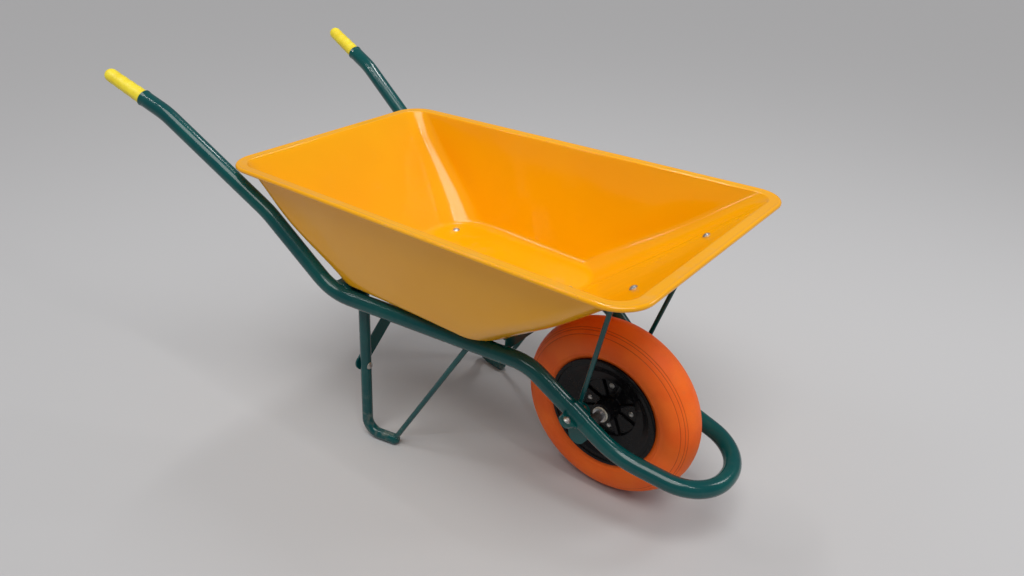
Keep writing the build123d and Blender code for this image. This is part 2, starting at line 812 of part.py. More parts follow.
# ------------------------------------------------------------------ wheel
bush_diameter = axle_diameter + 2 * running_clearance + 2 * bush_wall
spin_axis = Axis(axle_point, (0, 1, 0))
screw_angles = [360 / rim_screw_count * index for index in range(rim_screw_count)]
hub_rib_count = hub_ribs_per_screw * rim_screw_count
half_rib_pitch = 180 / hub_rib_count
for side, name in sides:
    radial = Plane(origin=axle_point, x_dir=(1, 0, 0), z_dir=(0, 0, side))
    facing = Plane(origin=axle_point, x_dir=(1, 0, 0), z_dir=(0, side, 0))
    with BuildPart() as rim_half:
        with BuildSketch(radial):
            Polygon(
                (bush_diameter / 2 + fit_clearance, 0),
                (rim_cup_radius, 0),
                (rim_cup_radius, rim_cup_mouth - rim_wall),
                (rim_seat_radius - rim_wall, rim_lip_reach - rim_lip_width - 2 * rim_wall),
                (rim_seat_radius - rim_wall, 0),
                (rim_seat_radius, 0),
                (rim_seat_radius, rim_lip_reach - rim_lip_width),
                (rim_lip_radius, rim_lip_reach - rim_lip_width),
                (rim_lip_radius, rim_lip_reach),
                (rim_seat_radius + rim_wall, rim_lip_reach),
                (rim_seat_radius + rim_wall, rim_lip_reach - rim_ledge_drop),
                (rim_seat_radius - rim_wall, rim_lip_reach - rim_ledge_drop),
                (rim_cup_radius - rim_wall, rim_cup_mouth),
                (rim_cup_radius - rim_wall, rim_web),
                (hub_radius, rim_web),
                (hub_radius, hub_reach),
                (bush_diameter / 2 + fit_clearance, hub_reach),
                align=None,
            )
        revolve(axis=spin_axis)
        with BuildSketch(facing):
            with PolarLocations(hub_radius, hub_rib_count, start_angle=half_rib_pitch):
                Rectangle(
                    rim_cup_radius - rim_wall - hub_radius + hub_rib_bite,
                    hub_rib_width,
                    align=(Align.MIN, Align.CENTER),
                )
        extrude(amount=rim_cup_mouth - hub_rib_setback)
        with BuildSketch(facing):
            with PolarLocations(rim_screw_pitch_radius, rim_screw_count):
                Circle(small_bolt_diameter / 2 + hole_clearance)
        extrude(amount=rim_cup_mouth, mode=Mode.SUBTRACT)
    save(rim_half, f"rim_half_{name}")

    with BuildPart() as bush:
        with BuildSketch(facing.offset(hub_reach - bush_length)):
            Circle(bush_diameter / 2)
        extrude(amount=bush_length)
        with BuildSketch(facing.offset(hub_reach)):
            Circle(bush_flange_diameter / 2)
        extrude(amount=bush_flange)
        add(
            rod(facing, axle_diameter + 2 * running_clearance, 0, hub_reach + bush_flange),
            mode=Mode.SUBTRACT,
        )
    save(bush, f"hub_bush_{name}")

with BuildPart() as rim_filling:
    with BuildSketch(across):
        Circle(rim_seat_radius)
    extrude(amount=rim_lip_reach, both=True)
    for side, _ in sides:
        facing = Plane(origin=axle_point, x_dir=(1, 0, 0), z_dir=(0, side, 0))
        with BuildSketch(facing.offset(rim_lip_reach - rim_lip_width)):
            Circle(rim_lip_radius)
        extrude(amount=tyre_width)

section_radius = tyre_width / 2
with BuildPart() as tyre:
    with BuildSketch(Plane(origin=axle_point, x_dir=(1, 0, 0), z_dir=(0, 0, -1))):
        with Locations((tyre_radius - section_radius, 0)):
            Circle(section_radius)
    revolve(axis=spin_axis)
    add(rim_filling.part, mode=Mode.SUBTRACT)
save(tyre, "tyre")

# Screws that hold the two rim halves together through their webs.
screw_set = []
screw_nut_set = []
for angle in screw_angles:
    spot = Vector(cos(radians(angle)), 0, sin(radians(angle))) * rim_screw_pitch_radius
    head_seat = Plane(origin=axle_point + spot + Vector(0, -rim_web, 0), x_dir=(1, 0, 0), z_dir=(0, -1, 0))
    nut_seat = Plane(origin=axle_point + spot + Vector(0, rim_web, 0), x_dir=(1, 0, 0), z_dir=(0, 1, 0))
    length = 2 * rim_web + small_nut_height + thread_stickout
    screw_set.append(
        cup_bolt(head_seat, length, small_bolt_diameter, small_head_diameter, small_head_height)
    )
    screw_nut_set.append(hex_nut(nut_seat, small_nut_flats, small_nut_height, small_bolt_diameter))
gather(screw_set, "rim_screws")
gather(screw_nut_set, "rim_screw_nuts")
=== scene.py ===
"""Single-wheel barrow: its tray, wheel, grips, details and finishes around the CAD model.

Metres, in the frame of the CAD model: +X forward to the wheel, +Y to the barrow's left, +Z up.
"""

import json
import math
from collections import namedtuple

import bmesh
import bpy
from mathutils import Matrix, Quaternion, Vector, noise
from mathutils.bvhtree import BVHTree


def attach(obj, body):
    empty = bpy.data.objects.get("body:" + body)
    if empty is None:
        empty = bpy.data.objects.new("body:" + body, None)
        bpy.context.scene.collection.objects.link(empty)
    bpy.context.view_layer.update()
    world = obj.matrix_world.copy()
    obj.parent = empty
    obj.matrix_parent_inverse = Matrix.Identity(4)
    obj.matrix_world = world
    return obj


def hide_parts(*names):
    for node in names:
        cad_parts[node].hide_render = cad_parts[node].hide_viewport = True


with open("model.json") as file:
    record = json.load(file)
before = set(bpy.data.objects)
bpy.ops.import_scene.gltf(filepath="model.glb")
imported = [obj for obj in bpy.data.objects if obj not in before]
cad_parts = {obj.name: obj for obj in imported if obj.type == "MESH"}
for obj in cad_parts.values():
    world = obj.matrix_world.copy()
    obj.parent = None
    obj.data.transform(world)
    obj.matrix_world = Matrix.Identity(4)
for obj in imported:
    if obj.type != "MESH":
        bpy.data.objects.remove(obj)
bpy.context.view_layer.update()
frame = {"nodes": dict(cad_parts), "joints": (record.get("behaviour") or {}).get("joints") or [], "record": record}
nodes = frame["nodes"]
spin_joint = next(joint for joint in frame["joints"] if joint["name"] == "wheel_spin")
axle = Vector(spin_joint["pos_m"])

MM = 0.001
SIDES = ((-1, "right"), (1, "left"))
Z_UP = Vector((0, 0, 1))


# ------------------------------------------------------------------ shader maths
class Socket:
    """A shader socket that adds Math nodes when it is used in an expression."""

    def __init__(self, paint, link):
        self.paint = paint
        self.link = link

    def maths(self, operation, *others):
        return self.paint.node("ShaderNodeMath", {"operation": operation}, [self, *others])

    def __add__(self, other):
        return self.maths("ADD", other)

    def __sub__(self, other):
        return self.maths("SUBTRACT", other)

    def __rsub__(self, other):
        return self.paint.node("ShaderNodeMath", {"operation": "SUBTRACT"}, [other, self])

    def __mul__(self, other):
        return self.maths("MULTIPLY", other)

    def __pow__(self, other):
        return self.maths("POWER", other)

    __radd__ = __add__
    __rmul__ = __mul__

    def wave(self):
        return self.maths("SINE")

    def size(self):
        return self.maths("ABSOLUTE")

    def smooth(self, low, high):
        """0 below low and 1 above high, with a soft step between them."""
        settings = {"interpolation_type": "SMOOTHSTEP"}
        values = {"Value": self, "From Min": low, "From Max": high}
        return self.paint.node("ShaderNodeMapRange", settings, values)


class Paint:
    """A procedural material on Object coordinates."""

    def __init__(self, name):
        self.material = bpy.data.materials.new(name)
        self.material.use_nodes = True
        self.tree = self.material.node_tree
        self.tree.nodes.clear()
        self.shader = self.tree.nodes.new("ShaderNodeBsdfPrincipled")
        output = self.tree.nodes.new("ShaderNodeOutputMaterial")
        self.tree.links.new(self.shader.outputs[0], output.inputs["Surface"])
        self.place = self.node("ShaderNodeTexCoord", {}, {}, "Object")

    def node(self, kind, settings, values, output=0):
        """A node with its settings, then the values or links of its inputs."""
        made = self.tree.nodes.new(kind)
        for key, value in settings.items():
            setattr(made, key, value)
        pairs = values.items() if isinstance(values, dict) else enumerate(values)
        for key, value in pairs:
            self.feed(made.inputs[key], value)
        return Socket(self, made.outputs[output])

    def feed(self, target, value):
        """Links a socket, or sets a plain value."""
        if isinstance(value, Socket):
            self.tree.links.new(value.link, target)
        else:
            target.default_value = value

    def noise(self, scale, detail=3.0, roughness=0.5, place=None):
        """Noise from 0 to 1, with scale in cells per metre."""
        values = {
            "Vector": place or self.place,
            "Scale": scale,
            "Detail": detail,
            "Roughness": roughness,
        }
        return self.node("ShaderNodeTexNoise", {}, values)

    def stretched(self, x, y, z):
        """Object coordinates scaled along each axis."""
        values = {"Vector": self.place, "Scale": (x, y, z)}
        return self.node("ShaderNodeMapping", {}, values)

    def cells(self, scale):
        """Distance to the nearest of scattered points, with scale in points per metre."""
        values = {"Vector": self.place, "Scale": scale}
        return self.node("ShaderNodeTexVoronoi", {}, values, "Distance")

    def axes(self):
        """The three object coordinates, one by one."""
        made = self.tree.nodes.new("ShaderNodeSeparateXYZ")
        self.feed(made.inputs[0], self.place)
        return [Socket(self, output) for output in made.outputs]

    def mix(self, share, first, second):
        """Mixes two colours."""
        made = self.tree.nodes.new("ShaderNodeMix")
        made.data_type = "RGBA"
        self.feed(made.inputs["Factor"], share)
        for socket, colour in ((made.inputs[6], first), (made.inputs[7], second)):
            self.feed(socket, colour if isinstance(colour, Socket) else (*colour, 1.0))
        return Socket(self, made.outputs[2])

    def upness(self):
        """How far the surface faces up, from -1 to 1."""
        normal = self.node("ShaderNodeNewGeometry", {}, {}, "Normal")
        made = self.tree.nodes.new("ShaderNodeSeparateXYZ")
        self.feed(made.inputs[0], normal)
        return Socket(self, made.outputs[2])

    def bump(self, height, distance, strength=1.0):
        """Normals from a height of 0 to 1 that stands for a distance in metres."""
        values = {"Height": height, "Distance": distance, "Strength": strength}
        return self.node("ShaderNodeBump", {}, values)

    def finish(self, **values):
        """Feeds the shader's inputs and returns the material."""
        for key, value in values.items():
            self.feed(self.shader.inputs[key.replace("_", " ")], value)
        return self.material


# ------------------------------------------------------------------ finishes
ENAMEL_GREEN = (0.0, 0.060, 0.063)
ENAMEL_GREEN_LIGHT = (0.0, 0.078, 0.074)
TRAY_YELLOW = (0.92, 0.415, 0.0)
TRAY_YELLOW_DEEP = (0.88, 0.380, 0.0)
DUST = (0.42, 0.37, 0.30)
BARE_STEEL = (0.33, 0.32, 0.31)
GRIP_LEMON = (0.92, 0.76, 0.035)
GRIP_LEMON_DEEP = (0.84, 0.64, 0.02)
GRIP_GRIME = (0.30, 0.25, 0.12)
TYRE_ORANGE = (0.95, 0.130, 0.008)
TYRE_ORANGE_LIGHT = (1.0, 0.165, 0.011)
TYRE_RUBBED = (0.62, 0.20, 0.09)
# Painted shade colour for the mould-line grooves.
TYRE_GROOVE_PAINTED_SHADE = (0.22, 0.035, 0.004)
# Painted shade colour for the pits of the pores.
TYRE_PORE_PAINTED_SHADE = (0.45, 0.07, 0.01)
RIM_BLACK = (0.006, 0.006, 0.007)
RIM_DUST = (0.09, 0.08, 0.075)
ZINC_DULL = (0.40, 0.39, 0.36)
ZINC_BRIGHT = (0.50, 0.49, 0.48)
ZINC_STAIN = (0.26, 0.21, 0.15)
DRAWN_STEEL = (0.45, 0.45, 0.46)
DRAWN_STEEL_OILED = (0.30, 0.28, 0.26)
NYLON = (0.70, 0.68, 0.60)
NYLON_GREASY = (0.45, 0.42, 0.34)

# The tyre's section in millimetres.
TYRE_RADIUS = 200.0
TYRE_SECTION = 46.5
TYRE_CENTRE = TYRE_RADIUS - TYRE_SECTION
TYRE_LINES = (38, 45, 57)  # degrees from the crown, round the section


def green_enamel():
    """Glossy dark teal enamel on the tubes, with fine orange peel, runs of tone and small chips."""
    paint = Paint("frame_green_enamel")
    tone = paint.noise(9, 4)
    colour = paint.mix(tone.smooth(0.35, 0.7), ENAMEL_GREEN, ENAMEL_GREEN_LIGHT)
    height = paint.axes()[2]
    low_down = 1 - height.smooth(0.01, 0.16)
    specks = paint.noise(420, 2).smooth(0.70, 0.74) * paint.noise(30, 2).smooth(0.5, 0.6)
    chips = specks * (low_down * 0.9 + 0.06)
    colour = paint.mix(chips, colour, BARE_STEEL)
    dusty = paint.noise(60, 5).smooth(0.45, 0.8) * (low_down * 0.30 + 0.015)
    colour = paint.mix(dusty, colour, DUST)
    scuffs = paint.noise(1, 4, 0.6, paint.stretched(30, 160, 160)).smooth(0.58, 0.8)
    roughness = 0.16 + tone * 0.05 + scuffs * 0.10 + dusty * 0.5 + chips * 0.3
    peel = paint.noise(330, 2) * 0.55 + paint.noise(90, 2) - chips * 0.7
    return paint.finish(
        Base_Color=colour,
        Roughness=roughness,
        Metallic=chips * 0.8,
        Normal=paint.bump(peel, 0.00004),
        Specular_IOR_Level=0.3,
        Coat_Weight=0.22,
        Coat_Roughness=0.03,
    )


def yellow_powder_coat():
    """Glossy yellow-orange coat on pressed sheet, with broad waves, scuffs and dust low down."""
    paint = Paint("tray_yellow_coat")
    tone = paint.noise(3.0, 3)
    colour = paint.mix(tone.smooth(0.3, 0.7), TRAY_YELLOW, TRAY_YELLOW_DEEP)
    facing_up = paint.upness().smooth(0.75, 0.98)
    smudges = paint.noise(14, 6, 0.65).smooth(0.52, 0.78)
    dusty = smudges * (facing_up * 0.12 + 0.012)
    colour = paint.mix(dusty, colour, DUST)
    scratches = paint.noise(1, 3, 0.6, paint.stretched(9, 420, 420)).smooth(0.66, 0.72)
    crossing = paint.noise(1, 3, 0.6, paint.stretched(380, 11, 380)).smooth(0.68, 0.74)
    marks = (scratches + crossing) * paint.noise(7, 2).smooth(0.5, 0.62)
    roughness = 0.13 + tone * 0.05 + smudges * 0.08 + marks * 0.14
    peel = paint.noise(260, 2) * 0.04 + paint.noise(9, 2) - marks * 0.03
    return paint.finish(
        Base_Color=colour,
        Roughness=roughness,
        Normal=paint.bump(peel, 0.0008),
        Specular_IOR_Level=0.34,
        Coat_Weight=0.2,
        Coat_Roughness=0.03,
    )


def grip_plastic():
    """Satin lemon-yellow plastic with a fine grain and rubbed high spots."""
    paint = Paint("grip_yellow_plastic")
    tone = paint.noise(40, 4)
    colour = paint.mix(tone.smooth(0.3, 0.75), GRIP_LEMON, GRIP_LEMON_DEEP)
    grime = paint.noise(120, 5, 0.6).smooth(0.55, 0.8) * 0.16
    colour = paint.mix(grime, colour, GRIP_GRIME)
    grain = paint.cells(2600)
    return paint.finish(
        Base_Color=colour,
        Roughness=0.36 + tone * 0.12 + grime * 0.5,
        Normal=paint.bump(grain + paint.noise(300, 2) * 0.6, 0.00008),
        Subsurface_Weight=0.06,
        Subsurface_Radius=(0.004, 0.003, 0.001),
    )


def tyre_foam():
    """Matt orange foam skin with fine pores, and a rubbed and dusty tread; painted shade darkens the mould-line
    grooves and the pits of the pores.
    """
    paint = Paint("tyre_orange_skin")
    x, y, z = paint.axes()
    radius = ((x - axle.x) ** 2 + (z - axle.z) ** 2) ** 0.5
    tread = radius.smooth(0.176, 0.197)
    tone = paint.noise(16, 4)
    colour = paint.mix(tone.smooth(0.3, 0.7), TYRE_ORANGE, TYRE_ORANGE_LIGHT)
    rubbed = tread * paint.noise(70, 5, 0.65).smooth(0.45, 0.75)
    colour = paint.mix(rubbed * 0.14, colour, TYRE_RUBBED)
    turned = y.size().maths("ARCTAN2", radius - TYRE_CENTRE * MM)
    lines = 0
    for spot in TYRE_LINES:
        lines = lines + (1 - (turned - math.radians(spot)).size().smooth(0.006, 0.020))
    # Painted shade: darkens the colour along the mould-line grooves, where shade falls.
    colour = paint.mix(lines * 0.55, colour, TYRE_GROOVE_PAINTED_SHADE)
    pores = paint.cells(1500).smooth(0.0, 0.45)
    # Painted shade: darkens the colour in the pits of the pores.
    colour = paint.mix((1 - pores) * 0.25, colour, TYRE_PORE_PAINTED_SHADE)
    height = pores * 0.6 + paint.noise(500, 3) * 0.5 + paint.noise(45, 2) * 0.9
    return paint.finish(
        Base_Color=colour,
        Specular_IOR_Level=0.3,
        Roughness=0.48 + tone * 0.10 + rubbed * 0.22,
        Normal=paint.bump(height, 0.00016),
    )


def rim_plastic():
    """Glossy black moulded plastic with swirl marks and a little dust on its ledges."""
    paint = Paint("rim_black_plastic")
    x, y, z = paint.axes()
    radius = ((x - axle.x) ** 2 + (z - axle.z) ** 2) ** 0.5
    swirl = (radius * 4200 + paint.noise(30, 2) * 9).wave() * 0.5 + 0.5
    tone = paint.noise(26, 4)
    dusty = paint.noise(90, 5, 0.65).smooth(0.5, 0.8) * 0.10
    colour = paint.mix(dusty, RIM_BLACK, RIM_DUST)
    return paint.finish(
        Base_Color=colour,
        Roughness=0.12 + tone * 0.12 + swirl * 0.03 + dusty * 1.5,
        Normal=paint.bump(swirl * 0.25 + tone, 0.00005),
        Specular_IOR_Level=0.18,
    )


def zinc_plate():
    """Mottled zinc plate on steel, with small warm stains."""
    paint = Paint("zinc_plated_steel")
    tone = paint.noise(150, 4)
    colour = paint.mix(tone.smooth(0.35, 0.7), ZINC_DULL, ZINC_BRIGHT)
    colour = paint.mix(paint.noise(350, 3).smooth(0.62, 0.75) * 0.4, colour, ZINC_STAIN)
    return paint.finish(
        Base_Color=colour,
        Roughness=0.30 + tone * 0.2,
        Metallic=0.95,
        Normal=paint.bump(paint.noise(900, 3), 0.00003),
    )


def drawn_steel():
    """Bright drawn steel with fine marks round and along the bar."""
    paint = Paint("axle_drawn_steel")
    lines = paint.noise(1, 3, 0.6, paint.stretched(900, 60, 900))
    tone = paint.noise(60, 4)
    colour = paint.mix(tone.smooth(0.4, 0.75), DRAWN_STEEL, DRAWN_STEEL_OILED)
    return paint.finish(
        Base_Color=colour,
        Roughness=0.28 + lines * 0.2,
        Metallic=0.95,
        Normal=paint.bump(lines, 0.00003),
    )


def bush_nylon():
    """Natural nylon, slightly yellowed and greasy."""
    paint = Paint("bush_nylon")
    tone = paint.noise(90, 4)
    colour = paint.mix(tone.smooth(0.4, 0.7), NYLON, NYLON_GREASY)
    return paint.finish(
        Base_Color=colour,
        Roughness=0.34 + tone * 0.2,
        Normal=paint.bump(paint.noise(700, 3), 0.00004),
    )


finishes = {
    "frame_green": green_enamel(),
    "tray_yellow": yellow_powder_coat(),
    "grip_yellow": grip_plastic(),
    "tyre_orange": tyre_foam(),
    "rim_black": rim_plastic(),
    "zinc_plate": zinc_plate(),
    "axle_steel": drawn_steel(),
    "rim_wire_steel": drawn_steel(),
    "bush_nylon": bush_nylon(),
}
for subpart in frame["record"]["subparts"]:
    piece = nodes[subpart["node"]]
    piece.data.materials.clear()
    piece.data.materials.append(finishes[subpart["material_slot"]])


# ------------------------------------------------------------------ mesh helpers
def bend(corner, back, ahead, radius, steps):
    """Points of the round bend at a corner, between a direction back and one ahead."""
    half = back.angle(ahead) / 2
    centre = corner + (back + ahead).normalized() * (radius / math.sin(half))
    start = corner + back * (radius / math.tan(half)) - centre
    end = corner + ahead * (radius / math.tan(half)) - centre
    turn = start.rotation_difference(end)
    return [centre + Quaternion().slerp(turn, step / steps) @ start for step in range(steps + 1)]


def rounded(corners, steps=5):
    """A closed flat outline with each corner (x, y, radius) rounded."""
    flat = [Vector((x, y, 0)) for x, y, _ in corners]
    outline = []
    for index, (_, _, radius) in enumerate(corners):
        back = (flat[index - 1] - flat[index]).normalized()
        ahead = (flat[(index + 1) % len(flat)] - flat[index]).normalized()
        outline += bend(flat[index], back, ahead, radius, steps)
    return [(point.x, point.y) for point in outline]


def piece_from(mesh, name, material):
    """A smooth-shaded object at the origin from a bmesh."""
    data = bpy.data.meshes.new(name)
    mesh.to_mesh(data)
    mesh.free()
    data.materials.append(finishes[material])
    data.shade_smooth()
    piece = bpy.data.objects.new(name, data)
    bpy.context.scene.collection.objects.link(piece)
    return piece


def declare(piece, body, slot, *replaced):
    """Says what a piece rides on and hides the CAD nodes it stands for; the slot argument is not used."""
    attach(piece, body)
    if replaced:
        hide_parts(*replaced)


def weave_rings(mesh, rings, closed_ends=False):
    """Joins closed rings of vertices into a tube, with a fan at each end if it is closed."""
    for inner, outer in zip(rings, rings[1:]):
        for a, b, c, d in zip(inner, outer, outer[1:] + outer[:1], inner[1:] + inner[:1]):
            mesh.faces.new((a, b, c, d))
    if closed_ends:
        for ring in (rings[0], rings[-1]):
            middle = mesh.verts.new(sum((vert.co for vert in ring), Vector()) / len(ring))
            for a, b in zip(ring, ring[1:] + ring[:1]):
                mesh.faces.new((a, b, middle))
        bmesh.ops.recalc_face_normals(mesh, faces=mesh.faces)


def lathe(outline, side, steps):
    """Closed outline of (radius, distance to one side) points, turned round the wheel's axis."""
    mesh = bmesh.new()
    rings = []
    turns = [2 * math.pi * step / steps for step in range(steps)]
    for radius, reach in outline + outline[:1]:
        spots = [
            (axle.x + radius * math.cos(turn), side * reach, axle.z + radius * math.sin(turn))
            for turn in turns
        ]
        rings.append([mesh.verts.new(spot) for spot in spots])
    weave_rings(mesh, rings)
    bmesh.ops.remove_doubles(mesh, verts=mesh.verts, dist=1e-6)
    bmesh.ops.recalc_face_normals(mesh, faces=mesh.faces)
    return mesh


# ------------------------------------------------------------------ tray
Outline = namedtuple("Outline", "rear front rear_height front_height rear_half front_half corner")
SHEET = 1.0 * MM
FLANGE = 17.0 * MM
FLANGE_SINK = 1.3 * MM
BEAD_RADIUS = 5.0 * MM
FLOOR_BEND = 25.0 * MM
RIM_BEND = 5.0 * MM
FOOT_INSET = 0.7 * MM
TOP_INSET = 1.4 * MM
TRAY_FLOOR = Outline(-0.604, -0.158, 0.388, 0.373, 0.222, 0.213, 0.088)
TRAY_RIM = Outline(-0.817, 0.190, 0.628, 0.621, 0.292, 0.311, 0.062)
CORNER_STEPS = 14
LONG_STEPS = 44
END_STEPS = 28
WALL_STEPS = 22
FLOOR_STEPS = 12
BEAD_STEPS = 14
BEND_STEPS = 8
FADE_STEPS = 5
CORNER_BULGE = 13.0 * MM
RIM_BEND_STEPS = 6
RISE_START = 2.0  # where the flange turns up to its bead, in bead radii from the bead's middle
RISE_END = 1.1
RISE_SHARE = 0.15  # of the flange's sink
BEAD_START = 122  # degrees
BEAD_SWEEP = 300
BROAD_WAVES = 7  # per metre
FINE_WAVES = 19
FINE_SHARE = 0.25
WAVE_DEPTH = 0.8  # millimetres


def tray_outline(shape, inset):
    """Points and outward directions round a tray outline, moved inwards."""
    rear, front = shape.rear + inset, shape.front - inset
    rear_half, front_half = shape.rear_half - inset, shape.front_half - inset
    slope = (shape.front_height - shape.rear_height) / (shape.front - shape.rear)
    spots = [(front, front_half), (rear, rear_half), (rear, -rear_half), (front, -front_half)]
    corners = [Vector((x, y, 0)) for x, y in spots]
    arcs = []
    for index, corner in enumerate(corners):
        back = (corners[index - 1] - corner).normalized()
        ahead = (corners[(index + 1) % 4] - corner).normalized()
        arcs.append(bend(corner, back, ahead, shape.corner - inset, CORNER_STEPS))
    flat = []
    for arc, after, steps in zip(arcs, arcs[1:] + arcs[:1], (LONG_STEPS, END_STEPS) * 2):
        flat += arc
        flat += [arc[-1].lerp(after[0], step / steps) for step in range(1, steps)]
    outward = []
    for index in range(len(flat)):
        along = flat[(index + 1) % len(flat)] - flat[index - 1]
        outward.append(along.cross(Z_UP).normalized())
    for point in flat:
        point.z = shape.rear_height + slope * (point.x - shape.rear)
        point.x += axle.x
    return flat, outward


def corner_fullness():
    """Share of the corners' bulge at each point round the tray: whole in the middle of an arc."""
    arc = [math.sin(math.pi * step / CORNER_STEPS) ** 0.5 for step in range(CORNER_STEPS + 1)]
    shares = []
    for steps in (LONG_STEPS, END_STEPS) * 2:
        shares += arc + [0.0] * (steps - 1)
    count = len(shares)
    reach = range(-FADE_STEPS, FADE_STEPS + 1)
    return [sum(shares[(i + j) % count] for j in reach) / len(reach) for i in range(count)]


def tray_section(foot, foot_out, top, top_out):
    """The sheet's upper surface, from the floor's edge to the end of its rolled edge."""
    wall = (top - foot).normalized()
    inward = -foot_out
    inward.z = inward.x * (TRAY_FLOOR.front_height - TRAY_FLOOR.rear_height) / (
        TRAY_FLOOR.front - TRAY_FLOOR.rear
    )
    section = bend(foot, inward.normalized(), wall, FLOOR_BEND, BEND_STEPS)
    sunk = top - wall * FLANGE_SINK
    lip = bend(sunk, -wall, top_out, RIM_BEND, RIM_BEND_STEPS)
    section += [section[-1].lerp(lip[0], step / WALL_STEPS) for step in range(1, WALL_STEPS)]
    section += lip
    width = FLANGE + TOP_INSET
    section.append(sunk + top_out * (width - RISE_START * BEAD_RADIUS))
    rise = Z_UP * FLANGE_SINK * RISE_SHARE
    section.append(sunk + top_out * (width - RISE_END * BEAD_RADIUS) + rise)
    centre = top + top_out * width - Z_UP * BEAD_RADIUS
    for step in range(BEAD_STEPS + 1):
        angle = math.radians(BEAD_START - BEAD_SWEEP * step / BEAD_STEPS)
        section.append(centre + (top_out * math.cos(angle) + Z_UP * math.sin(angle)) * BEAD_RADIUS)
    return section


def tray_shell():
    """Pressed sheet tray with soft bends, a sunk flange and a rolled edge, faintly wavy."""
    feet, foot_out = tray_outline(TRAY_FLOOR, FOOT_INSET)
    tops, top_out = tray_outline(TRAY_RIM, FLANGE + TOP_INSET)
    fullness = corner_fullness()
    for foot in feet:
        foot.z += SHEET
    sections = [tray_section(*parts) for parts in zip(feet, foot_out, tops, top_out)]
    for section, share, outward in zip(sections, fullness, top_out):
        for level in range(1, WALL_STEPS):
            swell = math.sin(math.pi * level / WALL_STEPS) ** 2 * share * CORNER_BULGE
            section[BEND_STEPS + level] += outward * swell
    middle = sum((section[0] for section in sections), Vector()) / len(sections)
    mesh = bmesh.new()
    rings = []
    for step in range(1, FLOOR_STEPS):
        spots = [middle.lerp(section[0], step / FLOOR_STEPS) for section in sections]
        rings.append([mesh.verts.new(spot) for spot in spots])
    rings += [[mesh.verts.new(spot) for spot in spots] for spots in zip(*sections)]
    weave_rings(mesh, rings)
    hub = mesh.verts.new(middle)
    for a, b in zip(rings[0], rings[0][1:] + rings[0][:1]):
        mesh.faces.new((hub, a, b))
    mesh.normal_update()
    walls = rings[FLOOR_STEPS + BEND_STEPS :][:WALL_STEPS]
    for level, ring in enumerate(walls):
        fade = math.sin(math.pi * level / WALL_STEPS) ** 0.5
        for vert in ring:
            swell = noise.noise(vert.co * BROAD_WAVES)
            swell += noise.noise(vert.co * FINE_WAVES) * FINE_SHARE
            vert.co += vert.normal * (swell * fade * WAVE_DEPTH * MM)
    shell = piece_from(mesh, "tray_shell", "tray_yellow")
    thickness = shell.modifiers.new("sheet", "SOLIDIFY")
    thickness.thickness = SHEET
    thickness.offset = -1.0
    declare(shell, "frame", "tray_yellow", "tray")


# ------------------------------------------------------------------ wheel
RIM_TURN_STEPS = 160
TYRE_TURN_STEPS = 220
TYRE_SECTION_STEPS = 150

# Millimetres.
RIM_SEAT = 112.0
RIM_LIP = 124.0
RIM_LIP_FACE = 36.0
SEAT_GAP = 0.5
LIP_GAP = 2.0
TYRE_TOE = 4.0  # how far past the rim's lip face the round section ends
SKIN_SINK = 0.35  # the section's set-back, which leaves room for the crown ridge
RIDGE_HEIGHT = 0.35
LINE_DEPTH = 1.0
FLANK_BEAD_HEIGHT = 0.6

# Degrees round the section.
RIDGE_WIDTH = 0.7
LINE_WIDTH = 0.75
FLANK_BEAD_SPOT = 112
FLANK_BEAD_WIDTH = 2.6


def tyre_outline():
    """The tyre's section in millimetres: round, with fine mould lines and a seat on the rim."""
    first = 180 - math.degrees(math.asin((RIM_LIP_FACE + TYRE_TOE) / TYRE_SECTION))
    seat_side = RIM_LIP_FACE - SEAT_GAP
    outline = [(RIM_SEAT, 0.0), (RIM_SEAT, seat_side), (RIM_LIP + LIP_GAP, seat_side)]
    upper = []
    for step in range(TYRE_SECTION_STEPS + 1):
        angle = first * (1 - step / TYRE_SECTION_STEPS)
        groove = sum(math.exp(-(((angle - spot) / LINE_WIDTH) ** 2)) for spot in TYRE_LINES)
        ridge = math.exp(-((angle / RIDGE_WIDTH) ** 2))
        bead = math.exp(-(((angle - FLANK_BEAD_SPOT) / FLANK_BEAD_WIDTH) ** 2))
        radius = TYRE_SECTION - SKIN_SINK - LINE_DEPTH * groove
        radius = radius + RIDGE_HEIGHT * ridge + FLANK_BEAD_HEIGHT * bead
        turned = math.radians(angle)
        upper.append((TYRE_CENTRE + radius * math.cos(turned), radius * math.sin(turned)))
    outline += upper
    lower = [(radius, -reach) for radius, reach in reversed(outline[1:-1])]
    return [(radius * MM, reach * MM) for radius, reach in outline + lower]


def tyre():
    """Solid foam tyre with mould lines on its shoulders."""
    skin = lathe(tyre_outline(), 1, TYRE_TURN_STEPS)
    piece = piece_from(skin, "tyre_with_mould_lines", "tyre_orange")
    declare(piece, "wheel", "tyre_orange", "tyre")


# Outline of one rim half: radius, distance from the middle plane and rounding, in millimetres.
RIM_HALF = (
    (12.15, 0, 0.3),
    (70, 0, 0.5),
    (70, 11, 3),
    (108, 28, 1),
    (108, 0, 0.5),
    (RIM_SEAT, 0, 0.5),
    (RIM_SEAT, RIM_LIP_FACE, 1.5),
    (RIM_LIP, RIM_LIP_FACE, 0.8),
    (RIM_LIP, 41, 2.0),
    (116.5, 41, 1.6),
    (116, 37, 1.0),
    (108, 36.6, 2.5),
    (88, 23.6, 34),
    (66, 15, 2.2),
    (65, 6, 2.6),
    (26, 6, 4),
    (23, 44, 1.6),
    (12.15, 44, 0.8),
)


def rim_halves():
    """Moulded rim halves with rounded lips, a dished cone and a cup round the hub."""
    corners = [(x * MM, y * MM, radius * MM) for x, y, radius in RIM_HALF]
    for side, name in SIDES:
        shell = lathe(rounded(corners), side, RIM_TURN_STEPS)
        piece = piece_from(shell, f"rim_shell_{name}", "rim_black")
        declare(piece, "wheel", "rim_black", f"rim_half_{name}")


